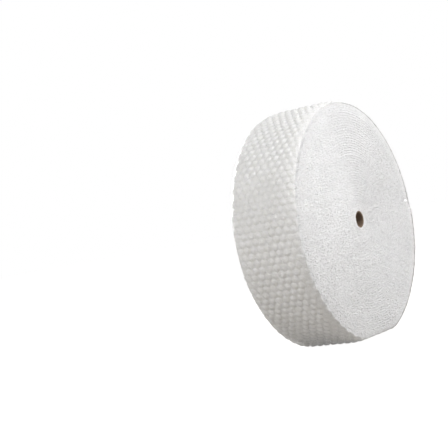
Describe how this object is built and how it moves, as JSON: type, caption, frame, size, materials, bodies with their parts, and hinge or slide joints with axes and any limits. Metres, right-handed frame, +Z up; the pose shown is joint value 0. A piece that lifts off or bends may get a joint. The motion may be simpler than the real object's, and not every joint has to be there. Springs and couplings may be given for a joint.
{
  "type": "bubble wrap roll",
  "caption": "Large roll of cushioning film with air bubbles, wound in a tight spiral on a paperboard core, standing on its rim.",
  "frame": {"origin": "on the floor, in the middle of the flat spot under the roll", "axes": "+X along the roll's axis, out of the end that faces the viewer; +Z up; the tail of the web ends on the +Y side"},
  "size_m": [0.305, 1.0168, 0.9874],
  "materials": {
    "film": "milky polyethylene film, soft gloss",
    "paperboard": "spiral wound brown paperboard, matt"
  },
  "bodies": {
    "root": {"film_web": "film", "core_tube": "paperboard"}
  },
  "joints": []
}
